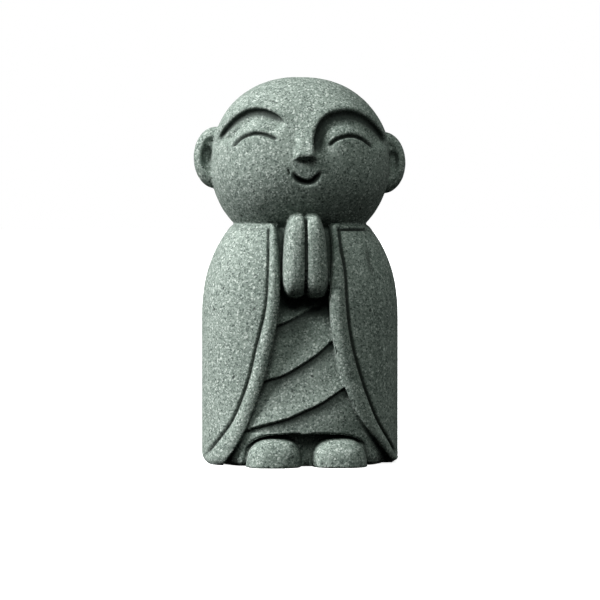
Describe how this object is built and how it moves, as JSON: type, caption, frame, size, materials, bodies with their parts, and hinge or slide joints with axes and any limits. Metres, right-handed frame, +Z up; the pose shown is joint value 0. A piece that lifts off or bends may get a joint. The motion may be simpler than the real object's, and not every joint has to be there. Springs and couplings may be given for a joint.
{
  "type": "monk figurine",
  "caption": "Small standing cast-stone monk with a round smiling head, open robe and palms pressed together, flat underneath.",
  "frame": {"origin": "centre of the underside, on the surface it stands on", "axes": "+Z up, the figure faces -Y, +X to the viewer's right"},
  "size_m": [0.036, 0.03, 0.065],
  "materials": {
    "cast_stone": "matt, fine speckled grain"
  },
  "bodies": {
    "root": {"monk_figurine": "cast_stone"}
  },
  "joints": []
}
